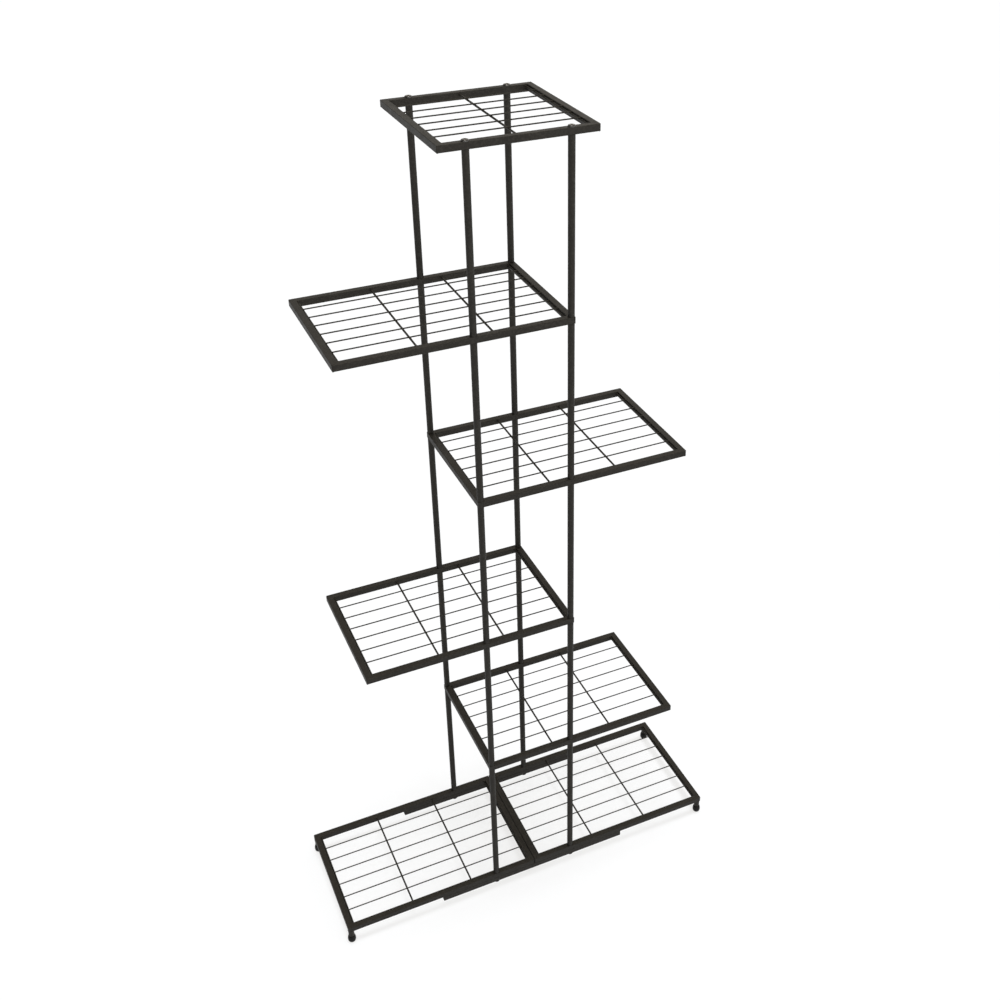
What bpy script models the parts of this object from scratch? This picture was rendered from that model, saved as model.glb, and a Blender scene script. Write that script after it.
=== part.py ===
"""Metal plant stand: four stacked round posts with seven wire decks in square-tube frames.

The frame is metres, +Z up. The origin is on the floor, midway between the feet.
Decks are numbered from the base (tier 0, two frames) to the top (tier 5).
"""
import math

import bmesh
import bpy
from mathutils import Matrix, Vector

# Layout
POST_PITCH = 0.146        # between post axes, side to side
SHELF_LENGTH = 0.348      # outside length of the six large frames
SHELF_DEPTH = 0.226       # outside depth of every frame
TOP_LENGTH = 0.225        # outside length of the top frame
BASE_GAP = 0.0006         # joint between the two base frames

# Square tube of the frames and splice bars
TUBE = 0.010
TUBE_WALL = 0.0009
TUBE_ROUND = 0.0012       # radius of the tube's long edges
SPLICE_LENGTH = 0.350

# Round posts
POST_DIAMETER = 0.010
POST_WALL = 0.0009
POST_LENGTH = 0.2564      # cut length of the tube, between two frames
INSERT_LENGTH = 0.014     # threaded insert pressed into a post's end
STUD_DIAMETER = 0.0056    # studs and screw shanks, over the thread
STUD_TIP = 0.0008         # chamfer on the end of a stud or shank
STUD_ENGAGED = 0.010      # length of a stud or shank inside an insert

# Wire decks
LONG_WIRE = 0.0020
CROSS_WIRE = 0.0030
LONG_COUNT = 6
CROSS_COUNT = 2           # between the two that lie along a deck's ends
TOP_CROSS_COUNT = 1
WIRE_DROP = 0.0004        # top of the long wires below the frame's top face
WELD_SINK = 0.0003        # depth that crossing wires are welded into each other

# Domed socket screws
HEAD_DIAMETER = 0.011
HEAD_HEIGHT = 0.0031
HEAD_RIM = 0.0007         # straight edge under the dome
HEAD_FLAT = 0.0058        # flat land round the socket
SOCKET_FLATS = 0.004
SOCKET_DEPTH = 0.0016

# Legs and screw-in feet
LEG_DIAMETER = 0.010
LEG_LENGTH = 0.013
FOOT_DIAMETER = 0.014
FOOT_HEIGHT = 0.0137
FOOT_BELLY = 0.0062       # height of the foot's widest ring
FOOT_PAD = 0.007          # flat on the underside of the foot
FOOT_COLLAR = 0.0095      # top face of the foot
FOOT_STUD = 0.015         # length of the foot's stud above its collar

# Clearances and facets
SEAT = 0.0003             # gap kept where two pieces touch
STUD_CLEAR = 0.0003       # around a stud or shank, in an insert or a drilled hole
DRILL_OVER = 0.005        # a drill or a cutter runs this far past the wall it opens
ROUND_SIDES = 12
WIRE_SIDES = 6
EDGE_FACETS = 2           # on each rounded edge of the square tube
SHOULDER_FACETS = 3       # on each rounded shoulder of a turned piece
ROUND_SMOOTH = 35.0       # degrees up to which facets of turned pieces are shaded smooth
WIRE_SMOOTH = 65.0        # the same for wires, which have fewer sides

# Places that follow from the sizes
POST_X = POST_PITCH / 2
POST_Y = (SHELF_DEPTH - TUBE) / 2
BASE_TOP = FOOT_HEIGHT + SEAT + LEG_LENGTH + TUBE
TIER_STEP = POST_LENGTH + TUBE + 2 * SEAT
BORE_RADIUS = STUD_DIAMETER / 2 + STUD_CLEAR
POSTS = {"fl": (-POST_X, -POST_Y), "fr": (POST_X, -POST_Y), "bl": (-POST_X, POST_Y), "br": (POST_X, POST_Y)}
TIERS = 5

# Finishes: colour, roughness, metallic
COAT = ("powder_coat", (0.040, 0.037, 0.033), 0.62, 0.15)
WIRE_COAT = ("wire_coat", (0.030, 0.028, 0.026), 0.58, 0.15)
SCREW_BLACK = ("screw_black", (0.045, 0.043, 0.040), 0.42, 0.70)
FOOT_BLACK = ("foot_black", (0.012, 0.012, 0.012), 0.45, 0.0)


def clear_scene():
    """Remove whatever objects the file starts with."""
    for obj in list(bpy.data.objects):
        bpy.data.objects.remove(obj)


def finish(values):
    """Return the Principled material of one finish, made on first use."""
    name, colour, roughness, metallic = values
    material = bpy.data.materials.get(name)
    if material is None:
        material = bpy.data.materials.new(name)
        material.use_nodes = True
        shader = material.node_tree.nodes["Principled BSDF"]
        shader.inputs["Base Color"].default_value = (*colour, 1.0)
        shader.inputs["Roughness"].default_value = roughness
        shader.inputs["Metallic"].default_value = metallic
    return material


def place(name, mesh, values=COAT, at=(0.0, 0.0, 0.0), turn=(0.0, 0.0, 0.0), parent=None):
    """Put a mesh into the scene as one named piece."""
    obj = bpy.data.objects.new(name, mesh)
    bpy.context.scene.collection.objects.link(obj)
    obj.location = at
    obj.rotation_euler = turn
    obj.parent = parent
    if not mesh.materials:
        mesh.materials.append(finish(values))
    return obj


def to_mesh(name, bm, smooth_angle=None):
    """Turn a bmesh with outward faces into a mesh."""
    bmesh.ops.recalc_face_normals(bm, faces=bm.faces)
    mesh = bpy.data.meshes.new(name)
    bm.to_mesh(mesh)
    bm.free()
    if smooth_angle:
        mesh.shade_smooth()
        mesh.set_sharp_from_angle(angle=math.radians(smooth_angle))
    return mesh


def combine(obj, tool_mesh, operation):
    """Join a tool shape to a piece, or cut it away, in the piece's own frame, and drop the tool."""
    tool = place(obj.name + "_tool", tool_mesh, at=obj.location, parent=obj.parent)
    modifier = obj.modifiers.new(operation.lower(), "BOOLEAN")
    modifier.operation = operation
    modifier.solver = "EXACT"
    modifier.object = tool
    bpy.context.view_layer.update()
    evaluated = obj.evaluated_get(bpy.context.evaluated_depsgraph_get())
    mesh = bpy.data.meshes.new_from_object(evaluated)
    obj.modifiers.remove(modifier)
    obj.data = mesh
    bpy.data.objects.remove(tool)


def turned(name, profile, closed=False):
    """Revolve a profile about Z.

    Each profile point is (radius, z) or (radius, z, "hex") for a six-sided socket.
    A closed profile joins its last point to its first; an open one starts and ends on the axis.
    """
    bm = bmesh.new()
    rings = []
    for radius, z, *shape in profile:
        if radius == 0.0:
            rings.append([bm.verts.new((0.0, 0.0, z))])
            continue
        ring = []
        for i in range(ROUND_SIDES):
            turn = 2 * math.pi * i / ROUND_SIDES
            angle = turn + math.pi / ROUND_SIDES
            r = radius
            if shape:
                r = radius * math.cos(math.pi / 6) / math.cos(turn % (math.pi / 3) - math.pi / 6)
            ring.append(bm.verts.new((r * math.cos(angle), r * math.sin(angle), z)))
        rings.append(ring)
    pairs = list(zip(rings, rings[1:]))
    if closed:
        pairs.append((rings[-1], rings[0]))
    for upper, lower in pairs:
        for i in range(ROUND_SIDES):
            j = (i + 1) % ROUND_SIDES
            if len(upper) == 1:
                bm.faces.new((upper[0], lower[i], lower[j]))
            elif len(lower) == 1:
                bm.faces.new((upper[i], lower[0], upper[j]))
            else:
                bm.faces.new((upper[i], lower[i], lower[j], upper[j]))
    return to_mesh(name, bm, ROUND_SMOOTH)


def drills(name, spots, radius):
    """Return upright cylinders as one mesh; each spot is (x, y, z low, z high)."""
    bm = bmesh.new()
    for x, y, low, high in spots:
        spin = Matrix.Rotation(math.pi / ROUND_SIDES, 4, "Z")
        where = Matrix.Translation((x, y, (low + high) / 2)) @ spin
        bmesh.ops.create_cone(bm, cap_ends=True, segments=ROUND_SIDES, radius1=radius, radius2=radius,
                              depth=high - low, matrix=where)
    return to_mesh(name, bm)


def tube_section(half, edge):
    """Return the tube's outline as (outward, up) points, with rounded edges where edge is over zero."""
    if edge <= 0.0:
        return [(half, half), (half, -half), (-half, -half), (-half, half)]
    points, flat = [], half - edge
    for quarter, (sx, sz) in enumerate(((1, 1), (1, -1), (-1, -1), (-1, 1))):
        for step in range(EDGE_FACETS + 1):
            angle = math.pi / 2 * (1 - quarter - step / EDGE_FACETS)
            points.append((sx * flat + edge * math.cos(angle), sz * flat + edge * math.sin(angle)))
    return points


def mitred_ring(name, length, depth, section):
    """Sweep a tube outline around a rectangle with mitred corners; the top face lies at z = 0."""
    bm = bmesh.new()
    rings = []
    for sx, sy in ((1, 1), (-1, 1), (-1, -1), (1, -1)):
        x, y = length / 2 - TUBE / 2, depth / 2 - TUBE / 2
        rings.append([bm.verts.new((sx * (x + out), sy * (y + out), up - TUBE / 2)) for out, up in section])
    for k, ring in enumerate(rings):
        following = rings[(k + 1) % len(rings)]
        for i in range(len(section)):
            j = (i + 1) % len(section)
            bm.faces.new((ring[i], ring[j], following[j], following[i]))
    return to_mesh(name, bm)


def build_frame(name, length, centre_x, top, post_names, parent, leg_side=0):
    """Make one hollow frame, drilled for the posts named, with legs at the outer corners of a base frame."""
    outer = tube_section(TUBE / 2, TUBE_ROUND)
    frame = place(name, mitred_ring(name, length, SHELF_DEPTH, outer), at=(centre_x, 0.0, top), parent=parent)
    leg_x = leg_side * (length - TUBE) / 2
    leg_ends = [(leg_x, sy * POST_Y) for sy in (-1, 1)] if leg_side else []
    if leg_ends:
        spots = [(x, y, -TUBE - LEG_LENGTH, -TUBE / 2) for x, y in leg_ends]
        combine(frame, drills(name + "_legs", spots, LEG_DIAMETER / 2), "UNION")
    hollow = tube_section(TUBE / 2 - TUBE_WALL, 0.0)
    combine(frame, mitred_ring(name + "_hollow", length, SHELF_DEPTH, hollow), "DIFFERENCE")
    spots = [(POSTS[p][0] - centre_x, POSTS[p][1], -TUBE - DRILL_OVER, DRILL_OVER) for p in post_names]
    spots += [(x, y, -TUBE - LEG_LENGTH - DRILL_OVER, -TUBE / 2) for x, y in leg_ends]
    combine(frame, drills(name + "_holes", spots, BORE_RADIUS), "DIFFERENCE")
    return frame


def wires(name, runs, diameter, along):
    """Return straight wires as one mesh, each with an edge on top; each run is (start, end) along X or Y."""
    bm = bmesh.new()
    radius = diameter / 2
    for start, end in runs:
        start, end = Vector(start), Vector(end)
        lay = Matrix.Rotation(math.pi / 2, 4, "Y") if along == "X" else Matrix.Rotation(math.pi / 2, 4, "X")
        spin = Matrix.Rotation(math.pi / 2 if along == "X" else 0.0, 4, "Z")
        where = Matrix.Translation((start + end) / 2) @ lay @ spin
        bmesh.ops.create_cone(bm, cap_ends=True, segments=WIRE_SIDES, radius1=radius, radius2=radius,
                              depth=(end - start).length, matrix=where)
    return to_mesh(name, bm, WIRE_SMOOTH)


def build_grid(name, length, cross_count, centre_x, top, parent):
    """Make the welded wire deck of one frame: long wires lying on cross wires, one of them along each end."""
    inside_x, inside_y = length / 2 - TUBE - SEAT, SHELF_DEPTH / 2 - TUBE - SEAT
    end_x = inside_x - CROSS_WIRE / 2
    long_z = -WIRE_DROP - LONG_WIRE / 2
    cross_z = long_z - (LONG_WIRE + CROSS_WIRE) / 2 + WELD_SINK
    long_pitch = (SHELF_DEPTH - 2 * TUBE) / (LONG_COUNT + 1)
    cross_pitch = (length - 2 * TUBE) / (cross_count + 1)
    long_runs, cross_runs = [], []
    for i in range(LONG_COUNT):
        y = (i - (LONG_COUNT - 1) / 2) * long_pitch
        long_runs.append(((-inside_x, y, long_z), (inside_x, y, long_z)))
    between = [(i - (cross_count - 1) / 2) * cross_pitch for i in range(cross_count)]
    for x in (-end_x, *between, end_x):
        cross_runs.append(((x, -inside_y, cross_z), (x, inside_y, cross_z)))
    mesh = wires(name, long_runs, LONG_WIRE, "X")
    grid = place(name, mesh, WIRE_COAT, at=(centre_x, 0.0, top), parent=parent)
    combine(grid, wires(name + "_cross", cross_runs, CROSS_WIRE, "Y"), "UNION")
    return grid


def stud_end(base, reach):
    """Return the profile of a chamfered stud or shank end, from its tip to its root."""
    radius = STUD_DIAMETER / 2
    tip = base + reach
    chamfer = math.copysign(STUD_TIP, reach)
    return [(0.0, tip), (radius - STUD_TIP, tip), (radius, tip - chamfer), (radius, base)]


def shoulder(flat, upright):
    """Return rings on a quarter ellipse from a flat face's edge to an upright wall, both (radius, z)."""
    rings = []
    for step in range(SHOULDER_FACETS + 1):
        turn = math.pi / 2 * step / SHOULDER_FACETS
        rings.append((flat[0] + (upright[0] - flat[0]) * math.sin(turn),
                      upright[1] + (flat[1] - upright[1]) * math.cos(turn)))
    return rings


def build_posts(parent):
    """Make the twenty posts; the lower ones carry a stud that reaches through the frame above them."""
    outside, inside = POST_DIAMETER / 2, POST_DIAMETER / 2 - POST_WALL
    end = POST_LENGTH
    reach = TUBE + 2 * SEAT + STUD_ENGAGED
    foot_of_post = [(outside, end), (outside, 0.0), (BORE_RADIUS, 0.0), (BORE_RADIUS, INSERT_LENGTH),
                    (inside, INSERT_LENGTH), (inside, end - INSERT_LENGTH)]
    studded = turned("post_studded", stud_end(end, reach) + foot_of_post + [(0.0, end - INSERT_LENGTH)])
    upper_insert = [(BORE_RADIUS, end - INSERT_LENGTH), (BORE_RADIUS, end)]
    plain = turned("post_plain", foot_of_post + upper_insert, closed=True)
    for tier in range(1, TIERS + 1):
        z = BASE_TOP + (tier - 1) * TIER_STEP + SEAT
        mesh = plain if tier == TIERS else studded
        for corner, (x, y) in POSTS.items():
            place(f"post_t{tier}_{corner}", mesh, at=(x, y, z), parent=parent)


def screw_mesh(name, shank):
    """Make a domed socket screw with its head's underside at z = 0 and its shank pointing down."""
    socket, floor = SOCKET_FLATS / 2 / math.cos(math.pi / 6), HEAD_HEIGHT - SOCKET_DEPTH
    profile = [(0.0, floor), (socket, floor, "hex"), (socket, HEAD_HEIGHT, "hex")]
    profile += shoulder((HEAD_FLAT / 2, HEAD_HEIGHT), (HEAD_DIAMETER / 2, HEAD_RIM))
    profile.append((HEAD_DIAMETER / 2, 0.0))
    return turned(name, profile + stud_end(0.0, -shank)[::-1])


def build_screws(parent):
    """Make the cap screws of the top frame and the longer screws under the base."""
    cap = screw_mesh("cap_screw", SEAT + TUBE + SEAT + STUD_ENGAGED)
    base = screw_mesh("base_screw", SEAT + TUBE + SEAT + TUBE + SEAT + STUD_ENGAGED)
    top = BASE_TOP + TIERS * TIER_STEP + SEAT
    bottom = BASE_TOP - 2 * TUBE - 2 * SEAT
    upside_down = (math.pi, 0.0, 0.0)
    for corner, (x, y) in POSTS.items():
        place(f"cap_screw_{corner}", cap, SCREW_BLACK, at=(x, y, top), parent=parent)
        place(f"base_screw_{corner}", base, SCREW_BLACK, at=(x, y, bottom), turn=upside_down, parent=parent)


def straight_bar(name, length, section):
    """Extrude a tube outline along X, with its top face at z = 0 and both ends closed."""
    bm = bmesh.new()
    outline = [bm.verts.new((-length / 2, out, up - TUBE / 2)) for out, up in section]
    end = bmesh.ops.extrude_face_region(bm, geom=[bm.faces.new(outline)])
    moved = [item for item in end["geom"] if isinstance(item, bmesh.types.BMVert)]
    bmesh.ops.translate(bm, verts=moved, vec=(length, 0.0, 0.0))
    return to_mesh(name, bm)


def build_splices(parent):
    """Make the two open tubes under the base that tie its frames together."""
    outer, hollow = tube_section(TUBE / 2, TUBE_ROUND), tube_section(TUBE / 2 - TUBE_WALL, 0.0)
    top = BASE_TOP - TUBE - SEAT
    for name, y in (("splice_front", -POST_Y), ("splice_back", POST_Y)):
        bar = place(name, straight_bar(name, SPLICE_LENGTH, outer), at=(0.0, y, top), parent=parent)
        combine(bar, straight_bar(name + "_hollow", SPLICE_LENGTH + 2 * DRILL_OVER, hollow), "DIFFERENCE")
        spots = [(x, 0.0, -TUBE - DRILL_OVER, DRILL_OVER) for x in (-POST_X, POST_X)]
        combine(bar, drills(name + "_holes", spots, BORE_RADIUS), "DIFFERENCE")


def build_feet(parent):
    """Make the round feet; each origin lies on its screw's axis, at the floor."""
    belly = (FOOT_DIAMETER / 2, FOOT_BELLY)
    upper, lower = shoulder((FOOT_COLLAR / 2, FOOT_HEIGHT), belly), shoulder((FOOT_PAD / 2, 0.0), belly)
    mesh = turned("foot", stud_end(FOOT_HEIGHT, FOOT_STUD) + upper + lower[-2::-1] + [(0.0, 0.0)])
    x = BASE_GAP / 2 + SHELF_LENGTH - TUBE / 2
    for corner, (sx, sy) in {"fl": (-1, -1), "fr": (1, -1), "bl": (-1, 1), "br": (1, 1)}.items():
        place(f"foot_{corner}", mesh, FOOT_BLACK, at=(sx * x, sy * POST_Y, 0.0), parent=parent)


def build_decks(parent):
    """Make the seven frames and their wire decks, from the base to the top."""
    base_x = (BASE_GAP + SHELF_LENGTH) / 2
    reach_x = POST_X + TUBE / 2 - SHELF_LENGTH / 2
    decks = [("base_left", 0, SHELF_LENGTH, -base_x, ("fl", "bl"), -1),
             ("base_right", 0, SHELF_LENGTH, base_x, ("fr", "br"), 1),
             ("tier1_right", 1, SHELF_LENGTH, -reach_x, tuple(POSTS), 0),
             ("tier2_left", 2, SHELF_LENGTH, reach_x, tuple(POSTS), 0),
             ("tier3_right", 3, SHELF_LENGTH, -reach_x, tuple(POSTS), 0),
             ("tier4_left", 4, SHELF_LENGTH, reach_x, tuple(POSTS), 0),
             ("top", 5, TOP_LENGTH, 0.0, tuple(POSTS), 0)]
    for name, tier, length, centre_x, post_names, leg_side in decks:
        top = BASE_TOP + tier * TIER_STEP
        build_frame("frame_" + name, length, centre_x, top, post_names, parent, leg_side)
        crosses = TOP_CROSS_COUNT if name == "top" else CROSS_COUNT
        build_grid("grid_" + name, length, crosses, centre_x, top, parent)


def main():
    """Build the whole stand under one empty."""
    clear_scene()
    stand = bpy.data.objects.new("plant_stand", None)
    bpy.context.scene.collection.objects.link(stand)
    build_decks(stand)
    build_posts(stand)
    build_splices(stand)
    build_screws(stand)
    build_feet(stand)
    bpy.context.view_layer.update()


main()
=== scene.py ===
"""Dresses the metal plant stand: mitred frames, welded wire decks, stacked posts, screws and feet.

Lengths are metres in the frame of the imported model: +Z up, X along the base, -Y to the front.
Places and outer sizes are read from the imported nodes; the few sizes below drive the rest.
"""

import logging
import math
from collections.abc import Callable, Iterator, Sequence
from contextlib import contextmanager
from dataclasses import dataclass
from enum import StrEnum

import bmesh
import bpy
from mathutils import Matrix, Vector


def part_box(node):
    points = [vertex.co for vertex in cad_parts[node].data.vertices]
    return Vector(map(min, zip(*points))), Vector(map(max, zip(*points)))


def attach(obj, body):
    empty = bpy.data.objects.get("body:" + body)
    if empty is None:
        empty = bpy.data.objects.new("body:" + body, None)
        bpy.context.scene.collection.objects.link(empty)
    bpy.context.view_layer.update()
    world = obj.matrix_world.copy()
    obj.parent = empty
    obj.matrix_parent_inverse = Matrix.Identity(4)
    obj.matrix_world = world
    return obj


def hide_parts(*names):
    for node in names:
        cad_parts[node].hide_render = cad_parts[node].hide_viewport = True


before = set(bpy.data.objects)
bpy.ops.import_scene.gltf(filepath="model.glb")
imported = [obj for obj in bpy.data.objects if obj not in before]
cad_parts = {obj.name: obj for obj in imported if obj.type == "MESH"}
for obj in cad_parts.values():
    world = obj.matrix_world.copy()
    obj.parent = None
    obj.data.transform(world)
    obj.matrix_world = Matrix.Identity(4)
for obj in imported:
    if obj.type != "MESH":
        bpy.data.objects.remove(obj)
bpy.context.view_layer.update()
LOG = logging.getLogger("plant_stand")
WEAR = "wear"  # attribute of the screws, 1 where a key has rubbed them
TINY = 1e-6  # a length that counts as nothing
NEAR = 1e-5  # a distance that counts as the same place
SQUARE = 1.0  # least angle, in radians, between the normals of faces that meet squarely
OCTAVES = 3.0  # finer lumps in a noise where its finish names no other number
BACKWARDS = (0.0, 1.0, 0.0)
UPWARDS = (0.0, 0.0, 1.0)
MIX_COLOURS = slice(6, 8)  # the two colours among the inputs of a Mix node
MIX_RESULT = 2  # the colour among its outputs

Object = bpy.types.Object
Material = bpy.types.Material
Socket = bpy.types.NodeSocket
Span = tuple[float, float]
Triple = tuple[float, float, float]
Colour = Triple
Profile = list[Span]


class Pick(StrEnum):
    """What edit mode selects."""

    VERTS = "VERT"
    EDGES = "EDGE"
    FACES = "FACE"


class Corner(StrEnum):
    """The four corners of the stand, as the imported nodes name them."""

    FRONT_LEFT = "fl"
    FRONT_RIGHT = "fr"
    BACK_LEFT = "bl"
    BACK_RIGHT = "br"


class Deck(StrEnum):
    """The seven decks, from the base to the top."""

    BASE_LEFT = "base_left"
    BASE_RIGHT = "base_right"
    TIER_1 = "tier1_right"
    TIER_2 = "tier2_left"
    TIER_3 = "tier3_right"
    TIER_4 = "tier4_left"
    TOP = "top"


class Slot(StrEnum):
    """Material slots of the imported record."""

    POWDER = "powder_coat"
    WIRE = "wire_coat"
    SCREW = "screw_black"
    FOOT = "foot_black"


@dataclass(frozen=True)
class Stock:
    """Sizes of the stock and hardware that everything is cut from; round stock by its diameter."""

    edge_round: float = 0.0007
    corner_round: float = 0.0018
    wall: float = 0.0009
    post: float = 0.010
    insert: float = 0.014
    stud: float = 0.0056
    clearance: float = 0.0003
    thin_wire: float = 0.0020
    rod: float = 0.0030

    @property
    def bore(self) -> float:
        """Radius of a hole that takes a stud or a screw."""
        return self.stud / 2 + self.clearance


STOCK = Stock()


def low_corner(node: str) -> Vector:
    """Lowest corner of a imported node."""
    return Vector(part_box(node)[0])


def high_corner(node: str) -> Vector:
    """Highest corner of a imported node."""
    return Vector(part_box(node)[1])


def middle(node: str) -> Vector:
    """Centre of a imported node's box."""
    return (low_corner(node) + high_corner(node)) / 2


def up(height: float) -> Vector:
    """Vector that points straight up by a height."""
    return Vector((0.0, 0.0, height))


TUBE = high_corner("splice_front").z - low_corner("splice_front").z  # section of the square tubes
SEAT = low_corner("post_t1_fl").z - high_corner("frame_base_left").z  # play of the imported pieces


def only(piece: Object) -> None:
    """Select one piece and make it active.

    Args:
        piece: the piece.
    """
    bpy.ops.object.select_all(action="DESELECT")
    piece.select_set(True)
    bpy.context.view_layer.objects.active = piece


def named_active(name: str) -> Object:
    """Name the piece that an operator has just added.

    Args:
        name: the piece's name.

    Returns:
        The piece.
    """
    piece = bpy.context.view_layer.objects.active
    piece.name = name
    piece.data.name = name
    return piece


def settle(piece: Object) -> None:
    """Put a piece's place, turn and scale into its mesh."""
    only(piece)
    bpy.ops.object.transform_apply(location=True, rotation=True, scale=True)


@contextmanager
def editing(piece: Object, parts: Pick = Pick.FACES, whole: bool = False) -> Iterator[None]:
    """Open a piece in edit mode, and close it again.

    Args:
        piece: the piece to edit.
        parts: what the following operators select.
        whole: whether all of it is selected at first, instead of nothing.
    """
    only(piece)
    bpy.ops.object.mode_set(mode="EDIT")
    bpy.ops.mesh.select_mode(type=parts.value)
    bpy.ops.mesh.select_all(action="SELECT" if whole else "DESELECT")
    yield
    bpy.ops.object.mode_set(mode="OBJECT")


def select(piece: Object, parts: Pick, wanted: Callable[..., bool]) -> None:
    """Select the edges or faces of the piece in edit mode that a test accepts.

    Args:
        piece: the piece in edit mode.
        parts: whether edges or faces are tested.
        wanted: the test.
    """
    mesh = bmesh.from_edit_mesh(piece.data)
    mesh.normal_update()
    for part in mesh.faces if parts is Pick.FACES else mesh.edges:
        part.select_set(bool(wanted(part)))
    mesh.select_flush_mode()
    bmesh.update_edit_mesh(piece.data)


def is_sharp_and_level(edge: bmesh.types.BMEdge) -> bool:
    """Tell whether an edge lies level between two faces that meet squarely."""
    level = abs(edge.verts[0].co.z - edge.verts[1].co.z) < TINY
    return level and edge.calc_face_angle(0.0) > SQUARE


def clean(piece: Object) -> None:
    """Merge doubles and turn all faces outwards.

    Args:
        piece: the piece.
    """
    with editing(piece, whole=True):
        bpy.ops.mesh.remove_doubles(threshold=TINY)
        bpy.ops.mesh.normals_make_consistent(inside=False)


def modify(piece: Object, kind: str, **settings: object) -> None:
    """Add a modifier to a piece, set it and apply it.

    Args:
        piece: the piece.
        kind: the modifier's type.
        settings: its settings.
    """
    only(piece)
    bpy.ops.object.modifier_add(type=kind)
    modifier = piece.modifiers[-1]
    for name, value in settings.items():
        setattr(modifier, name, value)
    bpy.ops.object.modifier_apply(modifier=modifier.name)


def smooth(piece: Object, degrees: float = 40.0) -> None:
    """Shade a piece smooth across its small facets and keep its flat faces flat.

    Args:
        piece: the piece.
        degrees: facets that meet at less than this are shaded as one surface.
    """
    only(piece)
    bpy.ops.object.shade_smooth_by_angle(angle=math.radians(degrees))
    modify(piece, "WEIGHTED_NORMAL", keep_sharp=True)


def carve(piece: Object, tool: Object) -> None:
    """Cut a closed tool out of a piece, and drop the tool."""
    modify(piece, "BOOLEAN", operation="DIFFERENCE", solver="EXACT", object=tool)
    bpy.data.objects.remove(tool)


def copy_of(piece: Object, name: str, shift: Vector, half_turn: bool = False) -> Object:
    """Copy a finished piece with its own mesh.

    Args:
        piece: the piece to copy.
        name: the copy's name.
        shift: how far the copy moves.
        half_turn: whether it first turns half round about the stand's upright axis.

    Returns:
        The copy, with its place in its mesh.
    """
    only(piece)
    bpy.ops.object.duplicate(linked=False)
    twin = named_active(name)
    twin.location = shift
    twin.rotation_euler.z = math.pi if half_turn else 0.0
    settle(twin)
    return twin


def join(pieces: Sequence[Object], name: str) -> Object:
    """Join pieces into the first of them.

    Args:
        pieces: the pieces to join.
        name: the joined piece's name.

    Returns:
        The joined piece.
    """
    only(pieces[0])
    for piece in pieces[1:]:
        piece.select_set(True)
    bpy.ops.object.join()
    return named_active(name)


def turned_piece(name: str, profile: Profile, at: Vector, sides: int) -> Object:
    """Turn a piece about an upright axis, by drawing a ring up and out from step to step.

    Args:
        name: the piece's name.
        profile: radius and height of each ring; where the last is the first again, the piece is a tube.
        at: the point on the axis at height zero.
        sides: facets round the piece.

    Returns:
        The closed piece, with outward faces.
    """
    tube = profile[0] == profile[-1]
    radius, height = profile[0]
    bpy.ops.mesh.primitive_circle_add(vertices=sides, radius=radius, location=at + up(height),
                                      fill_type="NOTHING" if tube else "NGON")
    piece = named_active(name)
    settle(piece)
    with editing(piece, Pick.VERTS, whole=True):
        for new_radius, new_height in profile[1:]:
            rise = {"value": (0.0, 0.0, new_height - height)}
            bpy.ops.mesh.extrude_region_move(TRANSFORM_OT_translate=rise)
            if new_radius != radius:
                grow = new_radius / radius
                bpy.ops.transform.resize(value=(grow, grow, 1.0), center_override=at + up(new_height))
            radius, height = new_radius, new_height
    clean(piece)
    return piece


def drill(piece: Object, spots: Sequence[Vector], floor: float, length: float, sides: int) -> None:
    """Drill upright holes that take a stud or a screw.

    Args:
        piece: the piece to drill.
        spots: a point on the axis of each hole.
        floor: height where the drill starts.
        length: how far it reaches up.
        sides: facets round each hole.
    """
    for spot in spots:
        at = Vector((spot.x, spot.y, floor))
        carve(piece, turned_piece("drill", [(STOCK.bore, 0.0), (STOCK.bore, length)], at, sides))


def rounded(flat: Span, upright: Span, steps: int) -> Profile:
    """Return rings on a quarter ellipse from a flat face's edge to an upright wall.

    Args:
        flat: radius and height where the curve leaves the flat face.
        upright: radius and height where it meets the wall.
        steps: facets along the curve.

    Returns:
        The rings, both ends included.
    """
    rings = []
    for step in range(steps + 1):
        turn = math.pi / 2 * step / steps
        rings.append((flat[0] + (upright[0] - flat[0]) * math.sin(turn),
                      upright[1] + (flat[1] - upright[1]) * math.cos(turn)))
    return rings


@dataclass(frozen=True)
class Grain:
    """Noise of a finish: lumps in a metre, octaves of finer ones, and where it sets in and is full."""

    scale: float
    detail: float = OCTAVES
    start: float = 0.3
    full: float = 0.7


@dataclass(frozen=True)
class Relief:
    """Bumps of a finish: lumps in a metre, strength, and height in metres."""

    scale: float
    strength: float
    depth: float


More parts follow.
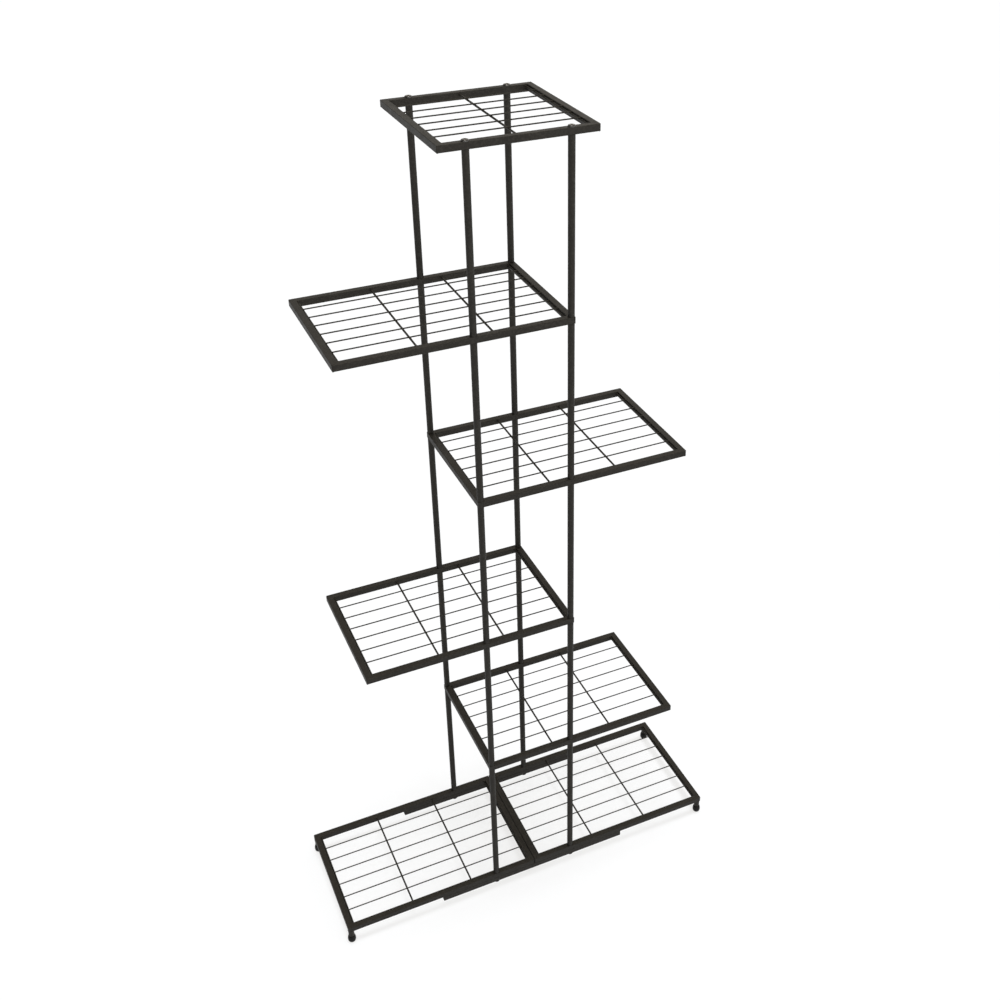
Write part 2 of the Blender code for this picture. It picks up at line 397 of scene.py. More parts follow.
class Graph:
    """The node tree of a material or a world, with a short call for each kind of node used here."""

    def __init__(self, owner: Material | bpy.types.World) -> None:
        """Take up a new material or world with its one shader.

        Args:
            owner: a material, whose places are the piece's own, or a world, whose places are directions.
        """
        owner.use_nodes = True
        solid = isinstance(owner, Material)
        self.owner, self.nodes, self.links = owner, owner.node_tree.nodes, owner.node_tree.links
        self.shader = self.nodes["Principled BSDF" if solid else "Background"]
        self.where = self.nodes.new("ShaderNodeTexCoord").outputs["Object" if solid else "Generated"]

    def set(self, **values: object) -> None:
        """Set constant sockets of the shader, with _ for each space in their names."""
        for name, value in values.items():
            self.shader.inputs[name.replace("_", " ")].default_value = value

    def noise(self, scale: float, detail: float = OCTAVES) -> Socket:
        """Return noise with about this many lumps in a metre.

        Args:
            scale: lumps in a metre.
            detail: octaves of finer lumps.

        Returns:
            The noise's height.
        """
        node = self.nodes.new("ShaderNodeTexNoise")
        node.inputs["Scale"].default_value = scale
        node.inputs["Detail"].default_value = detail
        self.links.new(self.where, node.inputs["Vector"])
        return node.outputs["Fac"]

    def between(self, value: Socket, low: float, high: float, start: float, end: float) -> Socket:
        """Spread a value over a range.

        Args:
            value: the value to spread.
            low: result at start.
            high: result at end.
            start: value that gives low.
            end: value that gives high.

        Returns:
            The result.
        """
        node = self.nodes.new("ShaderNodeMapRange")
        for name, number in (("From Min", start), ("From Max", end), ("To Min", low), ("To Max", high)):
            node.inputs[name].default_value = number
        self.links.new(value, node.inputs["Value"])
        return node.outputs["Result"]

    def grain(self, grain: Grain, low: float = 0.0, high: float = 1.0) -> Socket:
        """Spread a finish's noise over a range.

        Args:
            grain: the noise.
            low: result where it sets in.
            high: result where it is full.

        Returns:
            The result.
        """
        return self.between(self.noise(grain.scale, grain.detail), low, high, grain.start, grain.full)

    def blend(self, factor: Socket, first: object, second: object) -> Socket:
        """Blend two colours.

        Args:
            factor: share of the second colour.
            first: a colour, or the socket of one.
            second: a colour, or the socket of one.

        Returns:
            The blended colour.
        """
        node = self.nodes.new("ShaderNodeMix")
        node.data_type = "RGBA"
        self.links.new(factor, node.inputs["Factor"])
        for socket, colour in zip(node.inputs[MIX_COLOURS], (first, second)):
            if isinstance(colour, Socket):
                self.links.new(colour, socket)
            else:
                socket.default_value = (*colour, 1.0)
        return node.outputs[MIX_RESULT]

    def towards(self, direction: Triple, vector: Socket | None = None) -> Socket:
        """Find how far a vector reaches in a direction.

        Args:
            direction: the direction.
            vector: the vector, or None for the place itself.

        Returns:
            The distance.
        """
        node = self.nodes.new("ShaderNodeVectorMath")
        node.operation = "DOT_PRODUCT"
        node.inputs[1].default_value = direction
        self.links.new(self.where if vector is None else vector, node.inputs[0])
        return node.outputs["Value"]

    def facing_up(self, start: float) -> Socket:
        """Return how far the surface faces up, from 0 at a start to 1 where it lies level."""
        normal = self.nodes.new("ShaderNodeNewGeometry").outputs["Normal"]
        return self.between(self.towards(UPWARDS, normal), 0.0, 1.0, start, 1.0)

    def painted(self, name: str) -> Socket:
        """Read a piece's own attribute.

        Args:
            name: the attribute's name.

        Returns:
            Its value at each point.
        """
        node = self.nodes.new("ShaderNodeAttribute")
        node.attribute_name = name
        return node.outputs["Fac"]

    def times(self, first: Socket, second: Socket) -> Socket:
        """Multiply two values.

        Args:
            first: one value.
            second: the other.

        Returns:
            The product.
        """
        node = self.nodes.new("ShaderNodeMath")
        node.operation = "MULTIPLY"
        self.links.new(first, node.inputs[0])
        self.links.new(second, node.inputs[1])
        return node.outputs["Value"]

    def link(self, value: Socket, name: str) -> None:
        """Lead a value to one of the shader's sockets."""
        self.links.new(value, self.shader.inputs[name])

    def bump(self, *layers: Relief) -> None:
        """Raise the surface by layers of bumps.

        Args:
            layers: the layers, the coarsest first.
        """
        below = None
        for layer in layers:
            node = self.nodes.new("ShaderNodeBump")
            node.inputs["Strength"].default_value = layer.strength
            node.inputs["Distance"].default_value = layer.depth
            self.links.new(self.noise(layer.scale), node.inputs["Height"])
            if below is not None:
                self.links.new(below, node.inputs["Normal"])
            below = node.outputs["Normal"]
        self.link(below, "Normal")


@dataclass(frozen=True)
class PowderCoat:
    """Satin charcoal powder coat: orange peel, fine flecks, faint clouds and a trace of dust on top."""

    name: str = "charcoal_powder_coat"
    colour: Colour = (0.0042, 0.0039, 0.0034)
    cloud: Colour = (0.0060, 0.0055, 0.0049)
    fleck: Colour = (0.0135, 0.0125, 0.0109)
    dust: Colour = (0.0260, 0.0235, 0.0195)
    dust_share: float = 0.12
    dust_tilt: float = 0.6
    roughness: Span = (0.50, 0.60)
    specular: float = 0.24
    sheen: Colour = (1.0, 0.95, 0.86)
    clouds: Grain = Grain(22.0)
    flecks: Grain = Grain(420.0, 5.0, 0.45, 0.66)
    dusting: Grain = Grain(160.0, 5.0, 0.35, 0.75)
    gloss: Grain = Grain(60.0)
    waves: Relief = Relief(500.0, 0.9, 0.00018)
    peel: Relief = Relief(2000.0, 0.8, 0.00009)

    def material(self) -> Material:
        """Make the node material.

        Returns:
            The material.
        """
        graph = Graph(bpy.data.materials.new(self.name))
        graph.set(Specular_IOR_Level=self.specular, Specular_Tint=(*self.sheen, 1.0))
        coat = graph.blend(graph.grain(self.clouds), self.colour, self.cloud)
        coat = graph.blend(graph.grain(self.flecks), coat, self.fleck)
        dusty = graph.grain(self.dusting, 0.0, self.dust_share)
        lying = graph.times(dusty, graph.facing_up(self.dust_tilt))
        graph.link(graph.blend(lying, coat, self.dust), "Base Color")
        graph.link(graph.grain(self.gloss, *self.roughness), "Roughness")
        graph.bump(self.waves, self.peel)
        return graph.owner


@dataclass(frozen=True)
class WireCoat(PowderCoat):
    """The same coat on the wires, with a finer peel."""

    name: str = "charcoal_wire_coat"
    waves: Relief = Relief(650.0, 0.9, 0.00012)
    peel: Relief = Relief(2600.0, 0.8, 0.00006)


@dataclass(frozen=True)
class BlackenedSteel:
    """Satin black screw finish: fine mottling, and bright steel where a key has rubbed the socket."""

    name: str = "blackened_screw_steel"
    colour: Colour = (0.008, 0.0076, 0.0068)
    mottled: Colour = (0.020, 0.0185, 0.0165)
    bare: Colour = (0.34, 0.32, 0.29)
    roughness: Span = (0.12, 0.20)
    specular: float = 0.60
    mottling: Grain = Grain(420.0, 4.0, 0.45, 0.75)
    rubbing: Grain = Grain(1300.0, 4.0, 0.35, 0.60)
    rubbed_share: Span = (0.60, 1.0)
    gloss: Grain = Grain(900.0)
    relief: Relief = Relief(1500.0, 0.3, 0.00003)

    def material(self) -> Material:
        """Make the node material.

        Returns:
            The material.
        """
        graph = Graph(bpy.data.materials.new(self.name))
        graph.set(Specular_IOR_Level=self.specular)
        black = graph.blend(graph.grain(self.mottling), self.colour, self.mottled)
        rubbed = graph.times(graph.grain(self.rubbing, *self.rubbed_share), graph.painted(WEAR))
        graph.link(graph.blend(rubbed, black, self.bare), "Base Color")
        graph.link(rubbed, "Metallic")
        graph.link(graph.grain(self.gloss, *self.roughness), "Roughness")
        graph.bump(self.relief)
        return graph.owner


@dataclass(frozen=True)
class MouldedPlastic:
    """Black moulded plastic: an even fine grain with small scuffs."""

    name: str = "black_moulded_plastic"
    colour: Colour = (0.0040, 0.0039, 0.0037)
    scuffed: Colour = (0.0100, 0.0098, 0.0093)
    roughness: Span = (0.40, 0.54)
    specular: float = 0.14
    scuffs: Grain = Grain(260.0, 6.0, 0.52, 0.70)
    gloss: Grain = Grain(120.0)
    relief: Relief = Relief(2200.0, 0.35, 0.00003)

    def material(self) -> Material:
        """Make the node material.

        Returns:
            The material.
        """
        graph = Graph(bpy.data.materials.new(self.name))
        graph.set(Specular_IOR_Level=self.specular)
        graph.link(graph.blend(graph.grain(self.scuffs), self.colour, self.scuffed), "Base Color")
        graph.link(graph.grain(self.gloss, *self.roughness), "Roughness")
        graph.bump(self.relief)
        return graph.owner


@dataclass
class Dresser:
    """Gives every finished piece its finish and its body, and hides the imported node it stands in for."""

    finishes: dict[Slot, Material]
    count: int = 0

    def dress(self, piece: Object, node: str, slot: Slot, body: str = "stand") -> None:
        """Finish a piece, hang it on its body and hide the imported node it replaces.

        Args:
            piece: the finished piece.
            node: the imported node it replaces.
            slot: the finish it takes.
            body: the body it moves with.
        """
        piece.data.materials.clear()
        piece.data.materials.append(self.finishes[slot])
        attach(piece, body)
        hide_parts(node)
        self.count += 1
        LOG.info("%s stands for %s on %s, %d faces", piece.name, node, body, len(piece.data.polygons))


@dataclass
class MitredFrames:
    """The seven hollow frames, mitred at their corners, drilled for posts, with legs under the base."""

    dresser: Dresser
    corner_steps: int = 4
    edge_steps: int = 3
    seam_width: float = 0.0013
    seam_height: float = 0.00012
    seam_sides: int = 10
    seam_clear: float = 2.4  # part of a mitre without seam, in edge radii
    seam_end: float = 0.5  # width at the ends, as a share
    seam_taper: float = 0.06  # share of the run that each end tapers over
    bead_width: float = 0.0026
    bead_height: float = 0.0005
    ripples: int = 7
    ripple_waist: float = 0.88  # width between two ripples, as a share
    ripple_fall: float = 0.42  # share of a ripple from crest to waist
    leg: float = 0.010
    leg_round: float = 0.0005
    leg_plug: float = 0.4  # how far it reaches into the tube, as a share
    leg_weld: float = 0.0011
    weld_rings: tuple[Span, ...] = ((0.0, 1.3), (0.35, 0.7), (0.5, 0.0))  # out and down, in weld sizes
    sides: int = 36

    def ring(self, name: str, centre: Vector, size: Vector, tube: float) -> Object:
        """Make a closed rectangular ring of square section with mitred corners.

        Args:
            name: the ring's name.
            centre: middle of its top face.
            size: outside length and depth.
            tube: width and height of the section.

        Returns:
            The ring.
        """
        bpy.ops.mesh.primitive_plane_add(size=1.0, location=centre)
        piece = named_active(name)
        with editing(piece, whole=True):
            bpy.ops.transform.resize(value=(size.x, size.y, 1.0))
            bpy.ops.mesh.inset(thickness=tube, depth=0.0)
            bpy.ops.mesh.delete(type="FACE")
            bpy.ops.mesh.select_all(action="SELECT")
            bpy.ops.mesh.extrude_region_move(TRANSFORM_OT_translate={"value": (0.0, 0.0, -tube)})
        settle(piece)
        clean(piece)
        return piece

    def soften(self, piece: Object, centre: Vector, size: Vector) -> None:
        """Round the ground outer corners, then the tube's long edges.

        Args:
            piece: the ring.
            centre: middle of its top face.
            size: outside length and depth.
        """
        def is_outer_corner(edge: bmesh.types.BMEdge) -> bool:
            """Tell whether an edge stands at an outer corner."""
            upright = abs(edge.verts[0].co.z - edge.verts[1].co.z) > TUBE / 2
            outer = all(abs(abs(v.co.x - centre.x) - size.x / 2) < NEAR for v in edge.verts)
            return upright and outer

        with editing(piece, Pick.EDGES):
            select(piece, Pick.EDGES, is_outer_corner)
            bpy.ops.mesh.bevel(offset=STOCK.corner_round, segments=self.corner_steps, affect="EDGES")
            select(piece, Pick.EDGES, is_sharp_and_level)
            bpy.ops.mesh.bevel(offset=STOCK.edge_round, segments=self.edge_steps, affect="EDGES")

    def seams(self, centre: Vector, size: Vector) -> list[Object]:
        """Make the ground weld seams on the top mitres and the rippled beads under them.

        Args:
            centre: middle of the frame's top face.
            size: outside length and depth.

        Returns:
            The seams in place.
        """
        run = (TUBE - self.seam_clear * STOCK.edge_round) * math.sqrt(2)
        half, thick, end = self.seam_width / 2, self.bead_width / 2, self.seam_end
        taper = run * self.seam_taper
        flush: Profile = [(half * end, 0.0), (half, taper), (half, run - taper), (half * end, run)]
        raised: Profile = [(thick * end, 0.0)]
        for ripple in range(self.ripples):
            at = run * (ripple + 0.5) / self.ripples
            raised += [(thick, at), (thick * self.ripple_waist, at + run * self.ripple_fall / self.ripples)]
        raised.append((thick * end, run))
        made = []
        for sx in (-1, 1):
            for sy in (-1, 1):
                for profile, width, height, z in ((flush, self.seam_width, self.seam_height, 0.0),
                                                  (raised, self.bead_width, self.bead_height, -TUBE)):
                    seam = turned_piece("mitre_seam", profile, up(-run / 2), self.seam_sides)
                    seam.rotation_euler.y = math.pi / 2
                    settle(seam)
                    seam.scale.z = 2 * height / width
                    seam.rotation_euler.z = math.pi / 4 if sx * sy > 0 else -math.pi / 4
                    seam.location = centre + Vector((sx * (size.x - TUBE) / 2, sy * (size.y - TUBE) / 2, z))
                    settle(seam)
                    made.append(seam)
        return made

    def leg_spots(self, node: str, side: int) -> list[Vector]:
        """Find the legs at one end of a base frame.

        Args:
            node: the base frame.
            side: -1 for its left end, 1 for its right end.

        Returns:
            The middle of each leg's lower end.
        """
        low, high = low_corner(node), high_corner(node)
        x = (high.x if side > 0 else low.x) - side * TUBE / 2
        return [Vector((x, y, low.z)) for y in (low.y + TUBE / 2, high.y - TUBE / 2)]

    def legs(self, node: str, side: int) -> Object:
        """Make the two round legs under one base frame, each with a fillet weld round its top.

        Args:
            node: the base frame.
            side: -1 for the legs at its left end, 1 for those at its right end.

        Returns:
            Both legs as one piece.
        """
        length = high_corner(node).z - TUBE - low_corner(node).z
        outer, weld = self.leg / 2, self.leg_weld
        profile: Profile = [(STOCK.bore, 0.0), (outer - self.leg_round, 0.0), (outer, self.leg_round)]
        profile += [(outer + weld * out, length - weld * down) for out, down in self.weld_rings]
        profile += [(STOCK.bore, length + TUBE * self.leg_plug), (STOCK.bore, 0.0)]
        spots = self.leg_spots(node, side)
        return join([turned_piece("leg", profile, spot, self.sides) for spot in spots], "legs")

    def hollow_frame(self, deck: Deck, posts: Sequence[Corner], leg_side: int = 0) -> Object:
        """Make one finished frame.

        Args:
            deck: the deck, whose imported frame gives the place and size.
            posts: the posts whose holes it has.
            leg_side: end that has legs, -1 or 1, or 0 for none.

        Returns:
            The frame.
        """
        node, name = f"frame_{deck}", f"mitred_frame_{deck}"
        low, high = low_corner(node), high_corner(node)
        centre = Vector(((low.x + high.x) / 2, (low.y + high.y) / 2, high.z))
        size = Vector((high.x - low.x, high.y - low.y, 0.0))
        piece = self.ring(name, centre, size, TUBE)
        self.soften(piece, centre, size)
        inner = Vector((size.x - 2 * STOCK.wall, size.y - 2 * STOCK.wall, 0.0))
        carve(piece, self.ring("void", centre - up(STOCK.wall), inner, TUBE - 2 * STOCK.wall))
        spots = [middle(f"post_t1_{corner}") for corner in posts]
        floor = high.z - TUBE - STOCK.wall
        drill(piece, spots, floor, TUBE + 2 * STOCK.wall, self.sides)
        extras = self.seams(centre, size)
        if leg_side:
            drill(piece, self.leg_spots(node, leg_side), floor, TUBE / 2, self.sides)
            extras.append(self.legs(node, leg_side))
        piece = join([piece, *extras], name)
        smooth(piece)
        return piece

    def build(self) -> None:
        """Make one frame of each kind, copy it to its other places, and dress them all."""
        right = (Corner.FRONT_RIGHT, Corner.BACK_RIGHT)
        made = {Deck.BASE_RIGHT: self.hollow_frame(Deck.BASE_RIGHT, right, 1),
                Deck.TIER_1: self.hollow_frame(Deck.TIER_1, tuple(Corner)),
                Deck.TOP: self.hollow_frame(Deck.TOP, tuple(Corner))}
        for deck in (Deck.BASE_LEFT, Deck.TIER_2, Deck.TIER_3, Deck.TIER_4):
            source = Deck.BASE_RIGHT if deck is Deck.BASE_LEFT else Deck.TIER_1
            turn = deck.endswith("left")
            rise = high_corner(f"frame_{deck}").z - high_corner(f"frame_{source}").z
            made[deck] = copy_of(made[source], f"mitred_frame_{deck}", up(rise), turn)
        for deck, piece in made.items():
            self.dresser.dress(piece, f"frame_{deck}", Slot.POWDER)


@dataclass
class WireDecks:
    """The seven welded wire decks: long wires on cross rods, with a rod along each short rail."""

    dresser: Dresser
    long_count: int = 6
    large_rods: int = 2
    top_rods: int = 1
    wire_sides: int = 12
    rod_sides: int = 14
    swell_reach: float = 0.45  # in diameters
    swell: tuple[Span, ...] = ((1.35, 0.0), (1.25, 0.4), (1.0, 1.0))  # girth along that reach
    nugget_sides: int = 8
    nugget_size: Span = (0.72, 0.42)  # radius and half height, in thin wires
    nugget_end: float = 0.55  # width at its ends, as a share
    nugget_flank: float = 0.3  # share of its height that is upright
    smooth_angle: float = 50.0

    def bar(self, name: str, start: Vector, end: Vector, diameter: float, sides: int) -> Object:
        """Make a straight wire along X or Y, its ends swollen where they are welded.

        Args:
            name: the wire's name.
            start: middle of its first end.
            end: middle of its other end.
            diameter: the wire's diameter.
            sides: facets round it.

        Returns:
            The wire.
        """
        radius, length, reach = diameter / 2, (end - start).length, diameter * self.swell_reach
        near: Profile = [(radius * girth, reach * share) for girth, share in self.swell]
        far: Profile = [(ring, length - at) for ring, at in reversed(near)]
        wire = turned_piece(name, near + far, Vector(), sides)
        along_x = abs(end.x - start.x) > abs(end.y - start.y)
        wire.rotation_euler = (0.0, math.pi / 2, 0.0) if along_x else (-math.pi / 2, 0.0, 0.0)
        settle(wire)
        wire.location = start
        settle(wire)
        return wire

    def nugget(self, at: Vector) -> Object:
        """Make the squeezed weld where a wire crosses a rod.

        Args:
            at: where the two touch.

        Returns:
            The weld.
        """
        wide, tall = (STOCK.thin_wire * share for share in self.nugget_size)
        end, flank = wide * self.nugget_end, tall * self.nugget_flank
        profile: Profile = [(end, -tall), (wide, -flank), (wide, flank), (end, tall)]
        return turned_piece("weld_nugget", profile, at, self.nugget_sides)

    def deck(self, deck: Deck, cross_count: int) -> Object:
        """Make the wire deck of one frame.

        Args:
            deck: the deck.
            cross_count: rods between the two along its ends.

        Returns:
            The wires and welds as one piece.
        """
        low, high = low_corner(f"grid_{deck}"), high_corner(f"grid_{deck}")
        low.xy -= Vector((SEAT, SEAT))
        high.xy += Vector((SEAT, SEAT))
        wire_z, rod_z = high.z - STOCK.thin_wire / 2, low.z + STOCK.rod / 2
        pitch = (high.y - low.y) / (self.long_count + 1)
        lines = [low.y + pitch * (step + 1) for step in range(self.long_count)]
        gap = (high.x - low.x) / (cross_count + 1)
        edge = STOCK.rod / 2 + SEAT
        rods = [low.x + edge, *(low.x + gap * (step + 1) for step in range(cross_count)), high.x - edge]
        wire = self.bar("long_wire", Vector((low.x, lines[0], wire_z)), Vector((high.x, lines[0], wire_z)),
                        STOCK.thin_wire, self.wire_sides)
        rod = self.bar("cross_rod", Vector((rods[0], low.y, rod_z)), Vector((rods[0], high.y, rod_z)),
                       STOCK.rod, self.rod_sides)
        touch = Vector((rods[0], lines[0], wire_z - STOCK.thin_wire / 2))
        nugget = self.nugget(touch)
        row = [copy_of(nugget, "weld_nugget", Vector((x - rods[0], 0.0, 0.0))) for x in rods[1:]]
        comb = join([wire, nugget, *row], "wire_with_welds")
        combs = [copy_of(comb, "wire_with_welds", Vector((0.0, y - lines[0], 0.0))) for y in lines[1:]]
        bars = [copy_of(rod, "cross_rod", Vector((x - rods[0], 0.0, 0.0))) for x in rods[1:]]
        piece = join([comb, *combs, rod, *bars], f"wire_deck_{deck}")
        smooth(piece, self.smooth_angle)
        return piece

    def build(self) -> None:
        """Make a large deck and the top deck, copy the large one, and dress them all."""
        made = {Deck.BASE_LEFT: self.deck(Deck.BASE_LEFT, self.large_rods),
                Deck.TOP: self.deck(Deck.TOP, self.top_rods)}
        for deck in Deck:
            if deck not in made:
                shift = middle(f"grid_{deck}") - middle(f"grid_{Deck.BASE_LEFT}")
                made[deck] = copy_of(made[Deck.BASE_LEFT], f"wire_deck_{deck}", shift)
        for deck, piece in made.items():
            self.dresser.dress(piece, f"grid_{deck}", Slot.WIRE)


@dataclass
class StackedPosts:
    """The twenty round posts: five to a corner, each standing on the stud of the one below."""

    dresser: Dresser
    tiers: int = 5
    sides: int = 40
    rim: float = 0.0004
    plug: float = 0.5  # radius where the upper insert is closed, as a share
    thread_pitch: float = 0.001
    thread_depth: float = 0.00035
    tip: float = 0.8  # radius of a stud's end, as a share
    smooth_angle: float = 30.0

    def stud(self, start: float, end: float) -> Profile:
        """Return the rings of a threaded stud from its root to its chamfered tip.

        Args:
            start: height of its root.
            end: height of its tip.

        Returns:
            The rings.
        """
        crest, root = STOCK.stud / 2, STOCK.stud / 2 - self.thread_depth
        turns = int((end - start) / self.thread_pitch) - 1
        rings: Profile = [(crest, start)]
        for turn in range(turns):
            at = start + (turn + 0.5) * self.thread_pitch
            rings += [(root, at), (crest, at + self.thread_pitch / 2)]
        return rings + [(root, end - self.thread_depth), (root * self.tip, end)]

    def post(self, tier: int) -> Object:
        """Make the front left post of one tier.

        Args:
            tier: its tier, from 1 at the base.

        Returns:
            The post.
        """
        node = f"post_t{tier}_{Corner.FRONT_LEFT}"
        low, high = low_corner(node), high_corner(node)
        length = low_corner("post_t2_fl").z - low_corner("post_t1_fl").z - TUBE
        base = Vector((middle(node).x, middle(node).y, low.z - SEAT))
        outer, bore, inner = STOCK.post / 2, STOCK.bore, STOCK.post / 2 - STOCK.wall
        body: Profile = [(bore, 0.0), (outer - self.rim, 0.0), (outer, self.rim),
                         (outer, length - self.rim), (outer - self.rim, length)]
        hollow: Profile = [(inner, length - STOCK.insert), (inner, STOCK.insert), (bore, STOCK.insert)]
        if tier == self.tiers:
            rings = body + [(bore, length), (bore, length - STOCK.insert), *hollow, (bore, 0.0)]
        else:
            rings = [(inner * self.plug, length - STOCK.insert), *hollow, *body,
                     *self.stud(length, high.z - base.z)]
        piece = turned_piece(f"round_{node}", rings, base, self.sides)
        smooth(piece, self.smooth_angle)
        return piece

    def build(self) -> None:
        """Make a studded post and a plain top one, copy them, and dress them all."""
        made: dict[str, Object] = {}
        for tier in range(1, self.tiers + 1):
            for corner in Corner:
                name = f"t{tier}_{corner}"
                source = f"t{tier if tier == self.tiers else 1}_{Corner.FRONT_LEFT}"
                if name == source:
                    made[name] = self.post(tier)
                    continue
                shift = low_corner(f"post_{name}") - low_corner(f"post_{source}")
                made[name] = copy_of(made[source], f"round_post_{name}", shift)
        for name, piece in made.items():
            self.dresser.dress(piece, f"post_{name}", Slot.POWDER)


@dataclass
class SpliceBars:
    """The two open square tubes under the base that tie its frames together."""

    dresser: Dresser
    edge_steps: int = 3
    sides: int = 24
    end_facing: float = 0.9  # least part of a normal along X at the bar's ends

    def build(self) -> None:
        """Make the front bar, copy it to the back, and dress both."""
        low, high = low_corner("splice_front"), high_corner("splice_front")
        high.z += SEAT
        low.z += SEAT
        bpy.ops.mesh.primitive_cube_add(size=1.0, location=(low + high) / 2)
        piece = named_active("splice_bar_front")
        piece.scale = high - low
        settle(piece)
        with editing(piece, Pick.EDGES):
            select(piece, Pick.EDGES, lambda edge: abs(edge.verts[0].co.x - edge.verts[1].co.x) > TUBE)
            bpy.ops.mesh.bevel(offset=STOCK.edge_round, segments=self.edge_steps, affect="EDGES")
        with editing(piece):
            select(piece, Pick.FACES, lambda face: abs(face.normal.x) > self.end_facing)
            bpy.ops.mesh.delete(type="FACE")
        modify(piece, "SOLIDIFY", thickness=STOCK.wall, offset=-1.0, use_even_offset=True)
        spots = [middle(f"post_t1_{corner}") for corner in (Corner.FRONT_LEFT, Corner.FRONT_RIGHT)]
        drill(piece, spots, low.z - TUBE / 2, 2 * TUBE, self.sides)
        smooth(piece)
        shift = Vector((0.0, middle("splice_back").y - middle("splice_front").y, 0.0))
        back = copy_of(piece, "splice_bar_back", shift)
        self.dresser.dress(piece, "splice_front", Slot.POWDER)
        self.dresser.dress(back, "splice_back", Slot.POWDER)


@dataclass
class DomedScrews:
    """The eight domed socket screws: four cap the top deck and four come up through the base."""

    dresser: Dresser
    head: float = 0.011
    rim: float = 0.0007  # height of the head's upright rim
    land: float = 0.0058  # width of the flat on top
    tip: Span = (0.75, 0.3)  # radius and length of the shank's end, in shank radii
    socket: float = 0.004
    socket_depth: float = 0.0016
    socket_sides: int = 6
    socket_cone: Span = (0.2, 1.25)  # radius and depth of its lowest point, as shares
    lead_in: tuple[Span, ...] = ((1.0, -0.0002), (1.12, 0.0003))  # width as a share, height from the top
    worn: float = 0.66  # radius that a key rubs, in socket widths
    packed_height: float = 0.0031
    height: float = 0.0024
    sides: int = 36
    dome_steps: int = 6
    smooth_angle: float = 35.0

    def screw(self, name: str, node: str) -> Object:
        """Make a screw with its head up, on the world's upright axis.

        Args:
            name: the screw's name.
            node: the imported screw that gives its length.

        Returns:
            The screw, its head's underside at height zero.
        """
        length = high_corner(node).z - low_corner(node).z - self.packed_height
        shank = STOCK.stud / 2
        profile: Profile = [(shank * self.tip[0], -length), (shank, -length + shank * self.tip[1]),
                            (shank, 0.0), (self.head / 2, 0.0)]
        profile += rounded((self.land / 2, self.height), (self.head / 2, self.rim), self.dome_steps)[::-1]
        piece = turned_piece(name, profile, Vector(), self.sides)
        corner = self.socket / 2 / math.cos(math.pi / self.socket_sides)
        cone, deep = self.socket_cone
        key: Profile = [(corner * cone, self.height - self.socket_depth * deep),
                        (corner, self.height - self.socket_depth)]
        key += [(corner * wide, self.height + above) for wide, above in self.lead_in]
        carve(piece, turned_piece("key", key, Vector(), self.socket_sides))
        smooth(piece, self.smooth_angle)
        wear = piece.data.attributes.new(WEAR, "FLOAT", "POINT")
        for vertex, value in zip(piece.data.vertices, wear.data):
            near = vertex.co.xy.length < self.socket * self.worn
            on_rim = near and vertex.co.z > self.height - self.rim
            value.value = 1.0 if on_rim else 0.0
        return piece

    def build(self) -> None:
        """Make one cap screw and one base screw, copy them to their posts, and dress them all."""
        for kind, upside_down in (("cap_screw", False), ("base_screw", True)):
            model = self.screw(f"domed_{kind}", f"{kind}_{Corner.FRONT_LEFT}")
            if upside_down:
                model.rotation_euler.x = math.pi
                settle(model)
            for corner in Corner:
                node = f"{kind}_{corner}"
                spot = middle(node)
                if upside_down:
                    seat = low_corner(node).z + self.packed_height + SEAT
                else:
                    seat = high_corner(node).z - self.packed_height - SEAT
                piece = copy_of(model, f"domed_{node}", Vector((spot.x, spot.y, seat)))
                self.dresser.dress(piece, node, Slot.SCREW)
            bpy.data.objects.remove(model)


@dataclass
class LevellingFeet:
    """The four round screw-in feet, each with a threaded stud inside its leg."""

    dresser: Dresser
    posts: StackedPosts
    ball: float = 0.014
    belly: float = 0.0062
    pad: float = 0.007
    pad_rim: float = 0.4  # radius of the pad's inner rim, in pad widths
    dimple: Span = (0.32, 0.0004)  # radius in pad widths, and depth
    parting: float = 0.00025  # half the width of the mould line
    groove: float = 0.0002
    collar: float = 0.0095
    height: float = 0.0137
    sides: int = 40
    steps: int = 8
    smooth_angle: float = 32.0

    def build(self) -> None:
        """Make one foot, copy it to the other corners, and dress them all."""
        source = f"foot_{Corner.FRONT_LEFT}"
        reach, spot, widest = high_corner(source).z, middle(source), self.ball / 2
        rings: Profile = [(self.pad * self.dimple[0], self.dimple[1]), (self.pad * self.pad_rim, 0.0)]
        rings += rounded((self.pad / 2, 0.0), (widest, self.belly - self.parting), self.steps)
        rings.append((widest - self.groove, self.belly))
        over = rounded((self.collar / 2, self.height), (widest, self.belly + self.parting), self.steps)
        rings += over[::-1]
        rings += [(STOCK.stud / 2, self.height), *self.posts.stud(self.height, reach)[1:]]
        piece = turned_piece(f"round_{source}", rings, Vector((spot.x, spot.y, 0.0)), self.sides)
        smooth(piece, self.smooth_angle)
        made = {source: piece}
        for corner in Corner:
            node = f"foot_{corner}"
            if node != source:
                made[node] = copy_of(piece, f"round_{node}", middle(node) - spot)
        for node, foot in made.items():
            self.dresser.dress(foot, node, Slot.FOOT, body=node)


